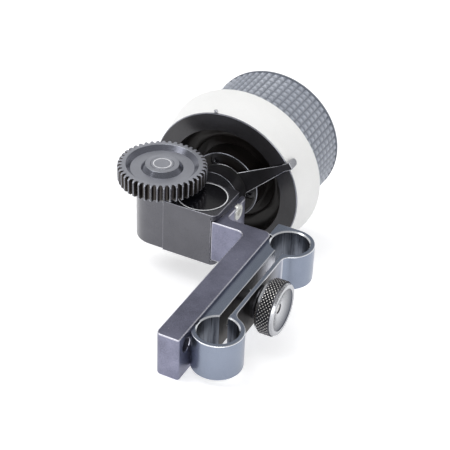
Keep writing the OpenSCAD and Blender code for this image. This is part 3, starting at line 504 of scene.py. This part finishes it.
def away_from_bores(edge):
    """True for the clamp's edges outside its bores, which have a chamfer of their own."""
    return bore_distance(edge_middle(edge)) > BORE_CLEAR_RADIUS


def square_corner(edge):
    """True for level edges and for upright ones of a square corner."""
    along = edge.verts[1].co - edge.verts[0].co
    return abs(along.z) < STEEP * along.length or edge.calc_face_angle(0) > SQUARE_ANGLE


def light_tab(work):
    """Gives the tab of the pointer, which bends over the marking ring, a lighter grey: a painted
    highlight.
    """
    for face in work.faces:
        if wheel_radius(face.calc_center_median()) > TAB_RADIUS:
            face.material_index = 1


def tooth_chamfer(work):
    """Slopes the tooth tips at both ends, and gives the tooth flanks a painted shade and the web's slopes
    a darker painted reflection.
    """
    axis_x, axis_y = (GEAR_LOW.x + GEAR_HIGH.x) / 2, (GEAR_LOW.y + GEAR_HIGH.y) / 2
    tip = (GEAR_HIGH.y - GEAR_LOW.y) / 2
    low, high = GEAR_LOW.z + TOOTH_SLOPE, GEAR_HIGH.z - TOOTH_SLOPE
    for level in (low, high):
        geometry = work.verts[:] + work.edges[:] + work.faces[:]
        bmesh.ops.bisect_plane(work, geom=geometry, plane_co=(0, 0, level), plane_no=(0, 0, 1),
                               dist=BISECT_REACH)
    for vert in work.verts:
        past = max(vert.co.z - high, low - vert.co.z)
        away = Vector((vert.co.x - axis_x, vert.co.y - axis_y))
        limit = tip - past
        if past > 0 and away.length > limit:
            away *= limit / away.length
            vert.co.x, vert.co.y = axis_x + away.x, axis_y + away.y
    work.normal_update()
    for face in work.faces:
        middle = face.calc_center_median()
        outside = math.hypot(middle.x - axis_x, middle.y - axis_y) > tip - TOOTH_HEIGHT
        tilt = abs(face.normal.z)
        if outside and tilt < UPRIGHT:
            face.material_index = 1
        elif not outside and UPRIGHT < tilt < LEVEL:
            face.material_index = 2


# CAD nodes with sharp machined edges get a fine bevel, and the others a material as they are

softened("arm_bracket", 0.4 * MM, [ARM, ARM_EDGE])
softened("rod_clamp", 0.3 * MM, [CLAMP, BORE, SLIT_SHADE_AND_SHEEN, CLAMP_EDGE],
         reshape=scratched_bores_and_shaded_slit, keep=away_from_bores)
softened("gearbox_housing", 0.2 * MM, [HOUSING, HOUSING_EDGE], keep=square_corner)
softened("base_cover", 0.2 * MM, [HOUSING, HOUSING_EDGE])
softened("wheel_disc", 0.35 * MM, [BLACK, DISH, BLACK_EDGE], reshape=dark_dish,
         keep=raised_rim, angle=55)
softened("boss_collar", 0.2 * MM, [BLACK, BLACK_EDGE])
softened("pointer", 0.2 * MM, [BLACK, TAB, BRIGHT_EDGE], reshape=light_tab)
softened("end_cap", 0.25 * MM, [BLACK, BLACK_EDGE])
softened("wheel_core", 0.25 * MM, [BLACK, BLACK_EDGE])
softened("drive_gear", 0.12 * MM, [GEAR, GEAR_SIDE, GEAR_SLOPE, GEAR_EDGE],
         reshape=tooth_chamfer)
softened("drive_cap", 0.12 * MM, [GEAR, GEAR_EDGE])
softened("marking_ring", 0.2 * MM, [WHITE, WHITE])
softened("disc_screws", 0.1 * MM, [BLACK, BLACK_EDGE])
for name in ("housing_screws", "arm_screws", "base_screws", "cap_screws", "drive_screw"):
    softened(name, 0.1 * MM, [SCREW, STEEL])

PLAIN = {"steel": STEEL, "bronze": BRONZE, "friction_plastic": PLASTIC, "black_metal": BLACK}
# The steel thrust washer takes the knob's dark tone: painted shade for the gap behind the knob.
SPECIAL = {"top_disc": DISC_TOP, "thrust_washer": KNOB}
slot_of = {part["node"]: part["material_slot"] for part in frame["record"]["subparts"]}
for name, thing in frame["nodes"].items():
    if thing.hide_render or slot_of[name] not in PLAIN:
        continue
    thing.data.materials.clear()
    thing.data.materials.append(SPECIAL.get(name, PLAIN[slot_of[name]]))


# White rings of paint on the gearbox's disc and on the drive gear's cap

def paint_ring(name, round_node, outer, body):
    """A thin raised ring on top of a round CAD node."""
    low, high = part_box(round_node)
    centre = Matrix.Translation(((low.x + high.x) / 2, (low.y + high.y) / 2, high.z))
    inner = outer - PAINT_WIDTH
    ring = Shell(centre, PAINT_STEPS)
    profile = [(inner, -PAINT_LIFT), (outer, -PAINT_LIFT), (outer, PAINT_LIFT), (inner, PAINT_LIFT)]
    ring.turned(profile, PAINT_STEPS, 0)
    ring.piece(name, body, [PAINT], degrees=30)


paint_ring("disc_ring", "top_disc", 10.16 * MM, "frame")
paint_ring("cap_ring", "drive_cap", 3.75 * MM, "drive")


# Rubber grip with rows of small pyramids

def rubber_grip():
    """A sleeve with a field of pyramids, narrow grooves between them and a smooth band at each end."""
    place = Matrix.Translation((WHEEL_X, 0, 0)) @ Matrix.Rotation(-math.pi / 2, 4, "X")
    sleeve = Shell(place, GRIP_COLUMNS)
    inner = GRIP_RADIUS - GRIP_WALL
    groove = GRIP_RADIUS - GRIP_DEPTH
    low, high = GRIP_LOW.y, GRIP_HIGH.y
    field_low, field_high = low + GRIP_BAND / 2, high - GRIP_BAND / 2
    pitch = (field_high - field_low) / GRIP_ROWS
    foot_share = (1 - GRIP_GROOVE_SHARE) / 2

    def square(radius, column, y, half_share):
        """Four corners around a pyramid's axis."""
        return [sleeve.point(radius, column + sx * half_share, y + sy * half_share * pitch)
                for sx, sy in CORNERS]

    feet = []
    for row in range(GRIP_ROWS):
        y = field_low + (row + 0.5) * pitch
        feet.append([square(groove, column, y, foot_share) for column in range(GRIP_COLUMNS)])
        for column, foot in enumerate(feet[-1]):
            top = square(GRIP_RADIUS - GRIP_TOP_GAP, column, y, GRIP_TOP_SHARE / 2)
            sleeve.band(foot, top, 0)
            sleeve.face(top, 0)

    for row in range(GRIP_ROWS):
        for column in range(GRIP_COLUMNS):
            next_column = (column + 1) % GRIP_COLUMNS
            foot, beside = feet[row][column], feet[row][next_column]
            sleeve.face((foot[1], beside[0], beside[3], foot[2]), 1)
            if row + 1 < GRIP_ROWS:
                above, above_beside = feet[row + 1][column], feet[row + 1][next_column]
                sleeve.face((foot[3], foot[2], above[1], above[0]), 1)
                sleeve.face((foot[2], beside[3], above_beside[0], above[1]), 1)

    bases = []
    for row, y, corners in ((0, field_low, (0, 1)), (GRIP_ROWS - 1, field_high, (3, 2))):
        rim = [foot[corner] for foot in feet[row] for corner in corners]
        base = [sleeve.point(inner, column + side * foot_share, y)
                for column in range(GRIP_COLUMNS) for side in (-1, 1)]
        sleeve.band(rim, base, 1)
        bases.append(base)
    sleeve.band(*bases, 1)

    for start, way in ((low, 1), (high, -1)):
        profile = [(inner, 0), (GRIP_RADIUS - GRIP_EDGE, 0), (GRIP_RADIUS, GRIP_EDGE),
                   (GRIP_RADIUS, GRIP_BAND), (inner, GRIP_BAND)]
        placed = [(radius, start + way * height) for radius, height in profile]
        sleeve.turned(placed, GRIP_BAND_STEPS, 2)
    piece = sleeve.piece("grip_sleeve", "handwheel", [RUBBER, RUBBER_GROOVE, RUBBER_BAND])
    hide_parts("rubber_grip")


rubber_grip()


# Clamp knob with a diamond knurl and a bright turned face

def clamp_knob():
    """Knurled body, boss and dished face as one closed shape about +X."""
    place = Matrix.Translation((KNOB_LOW.x, KNOB_Y, 0)) @ Matrix.Rotation(math.pi / 2, 4, "Y")
    radius = (KNOB_HIGH.y - KNOB_LOW.y) / 2
    length = KNOB_HIGH.x - KNOB_LOW.x
    chamfer = 0.9 * MM
    stud_hole = 3.02 * MM
    boss_radius, boss_length, boss_edge = 6 * MM, 1.7 * MM, 0.3 * MM
    rim_radius, rim_edge, rim_drop = radius - 2.4 * MM, 0.3 * MM, 0.25 * MM
    dish_level, dish_foot = length - 1.8 * MM, 0.35 * MM
    hole_radius, hole_edge, hole_level = 1.9 * MM, 0.1 * MM, length - 2.3 * MM
    field_low, field_high = boss_length + chamfer, length - chamfer
    half = (field_high - field_low) / (2 * KNURL_ROWS)
    steps = 2 * KNURL_TIPS
    knob = Shell(place, steps)

    behind = [knob.ring(stud_hole, 0), knob.ring(boss_radius - boss_edge, 0),
              knob.ring(boss_radius, boss_edge), knob.ring(boss_radius, boss_length),
              knob.ring(radius - chamfer, boss_length)]
    field = [knob.ring(radius - KNURL_DEPTH, field_low + half * m) for m in range(2 * KNURL_ROWS + 1)]
    ahead = [knob.ring(radius - chamfer, length), knob.ring(rim_radius, length),
             knob.ring(rim_radius - rim_edge, length - rim_drop),
             knob.ring(hole_radius + dish_foot, dish_level),
             knob.ring(hole_radius + hole_edge, dish_level),
             knob.ring(hole_radius, dish_level - hole_edge), knob.ring(hole_radius, hole_level)]
    for first, second in zip(behind[:-1], behind[1:]):
        knob.band(first, second, 0)
    knob.band(behind[-1], field[0], 1)
    knob.band(field[-1], ahead[0], 1)
    for first, second, mark in zip(ahead[:-1], ahead[1:], DISH_MARKS):
        knob.band(first, second, mark)
    knob.face(behind[0][::-1], 0)
    # The hole's bottom, the stud's steel end, is white plastic: a painted highlight.
    knob.face(ahead[-1], 3)

    # Knurl: each diamond stands on four points of the field and has a small flat top
    share = KNURL_TOP_SHARE
    for m in range(1, 2 * KNURL_ROWS):
        height = field_low + half * m
        for k in range(m % 2, steps, 2):
            feet = [field[m][k - 1], field[m - 1][k], field[m][(k + 1) % steps], field[m + 1][k]]
            top = [knob.point(radius, k - share, height), knob.point(radius, k, height - share * half),
                   knob.point(radius, k + share, height), knob.point(radius, k, height + share * half)]
            knob.band(feet, top, 0)
            knob.face(top, 2)
    for m, inner in ((0, 1), (2 * KNURL_ROWS, 2 * KNURL_ROWS - 1)):
        for k in range(m % 2, steps, 2):
            knob.face((field[m][k - 1], field[m][k], field[inner][k]), 0)
            knob.face((field[m][k], field[m][(k + 1) % steps], field[inner][k]), 0)
    piece = knob.piece("knurled_knob", "knob", [KNOB, KNOB_FACE, KNOB_TIP, WHITE, KNOB_DISH])
    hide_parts("clamp_knob")


clamp_knob()


# Floor, light and camera

def floor_slope():
    """Rise per length along Y of a plane through the arm's edge that touches the wheel from below."""
    places = [vert.co for name in WHEEL_NODES for vert in frame["nodes"][name].data.vertices]
    return min((place.z - FLOOR_NEAR.z) / (place.y - FLOOR_NEAR.y) for place in places)


def floor_material():
    """Pale paper that glows a little for the camera and in reflections, and is clear from below."""
    material = bpy.data.materials.new("floor_paper")
    material.use_nodes = True
    tree = material.node_tree
    tree.nodes.clear()
    paper = node(tree, "ShaderNodeBsdfDiffuse", Color=FLOOR_COLOUR)
    glow = node(tree, "ShaderNodeEmission", Color=WHITE_LIGHT, Strength=FLOOR_GLOW)
    both = node(tree, "ShaderNodeAddShader", i0=paper.outputs[0], i1=glow.outputs[0])
    sight = node(tree, "ShaderNodeLightPath")
    seen = math_node(tree, "MAXIMUM", sight.outputs["Is Camera Ray"], sight.outputs["Is Glossy Ray"])
    pick = node(tree, "ShaderNodeMixShader", i0=seen, i1=paper.outputs[0], i2=both.outputs[0])
    clear = node(tree, "ShaderNodeBsdfTransparent")
    below = node(tree, "ShaderNodeNewGeometry").outputs["Backfacing"]
    shown = node(tree, "ShaderNodeMixShader", i0=below, i1=pick.outputs[0], i2=clear.outputs[0])
    out = node(tree, "ShaderNodeOutputMaterial")
    tree.links.new(shown.outputs[0], out.inputs["Surface"])
    return material


def floor():
    """A pale floor through the two places where the unit rests; it keeps the object's shadow."""
    along = Vector((0, 1, floor_slope())).normalized()
    across = Vector((1, 0, 0))
    up = across.cross(along)
    middle = FLOOR_NEAR + along * FLOOR_REACH - up * FLOOR_GAP
    corners = [middle + across * sx * FLOOR_HALF + along * sy * FLOOR_HALF for sx, sy in CORNERS]
    mesh = bpy.data.meshes.new("floor")
    mesh.from_pydata(corners, [], [(0, 1, 2, 3)])
    mesh.materials.append(floor_material())
    thing = bpy.data.objects.new("floor", mesh)
    bpy.context.scene.collection.objects.link(thing)


def world():
    """White behind the object for the camera, a paler low sky and a greyer high one for the light."""
    made = bpy.data.worlds.new("studio")
    bpy.context.scene.world = made
    made.use_nodes = True
    tree = made.node_tree
    tree.nodes.clear()
    way = node(tree, "ShaderNodeTexCoord").outputs["Generated"]
    height = node(tree, "ShaderNodeSeparateXYZ", Vector=way).outputs["Z"]
    level = span(tree, height, SKY_LOW, SKY_HIGH, SKY_PALE, SKY_GREY)
    sky = node(tree, "ShaderNodeBackground", Color=WHITE_LIGHT, Strength=level)
    white = node(tree, "ShaderNodeBackground", Color=WHITE_LIGHT, Strength=1.0)
    seen = node(tree, "ShaderNodeLightPath").outputs["Is Camera Ray"]
    pick = node(tree, "ShaderNodeMixShader", i0=seen, i1=sky.outputs[0], i2=white.outputs[0])
    out = node(tree, "ShaderNodeOutputWorld")
    tree.links.new(pick.outputs[0], out.inputs["Surface"])


def softbox(name, place, size, power):
    """A square area light that points at the unit; place and size are in metres, power in watts."""
    data = bpy.data.lights.new(name, "AREA")
    data.shape = "SQUARE"
    data.size = size
    data.energy = power
    lamp = bpy.data.objects.new(name, data)
    bpy.context.scene.collection.objects.link(lamp)
    lamp.location = place
    lamp.rotation_mode = "QUATERNION"
    lamp.rotation_quaternion = (Vector(LAMP_AIM) - Vector(place)).to_track_quat("-Z", "Y")


def camera():
    """The photograph's camera, which looks at the target from the solved direction and distance."""
    data = bpy.data.cameras.new("camera")
    data.sensor_fit = "HORIZONTAL"
    data.sensor_width = SENSOR
    data.lens = FOCAL_PIXELS * SENSOR / IMAGE
    data.clip_start, data.clip_end = CLIP_NEAR, CLIP_FAR
    thing = bpy.data.objects.new("camera", data)
    bpy.context.scene.collection.objects.link(thing)
    back = Vector((math.sin(AZIMUTH) * math.cos(ELEVATION), -math.cos(AZIMUTH) * math.cos(ELEVATION),
                   math.sin(ELEVATION)))
    right = Vector((math.cos(AZIMUTH), math.sin(AZIMUTH), 0))
    up = back.cross(right)
    x = right * math.cos(ROLL) + up * math.sin(ROLL)
    y = up * math.cos(ROLL) - right * math.sin(ROLL)
    turn = Matrix((x, y, back)).transposed().to_4x4()
    thing.matrix_world = Matrix.Translation(TARGET + back * DISTANCE) @ turn
    bpy.context.scene.camera = thing


floor()
world()
softbox("key", place=(-0.45, -0.1, 1.0), size=0.9, power=6)
softbox("front", place=(0.6, -0.9, 0.35), size=0.8, power=6)
camera()

view = bpy.context.scene.view_settings
view.view_transform = "Standard"
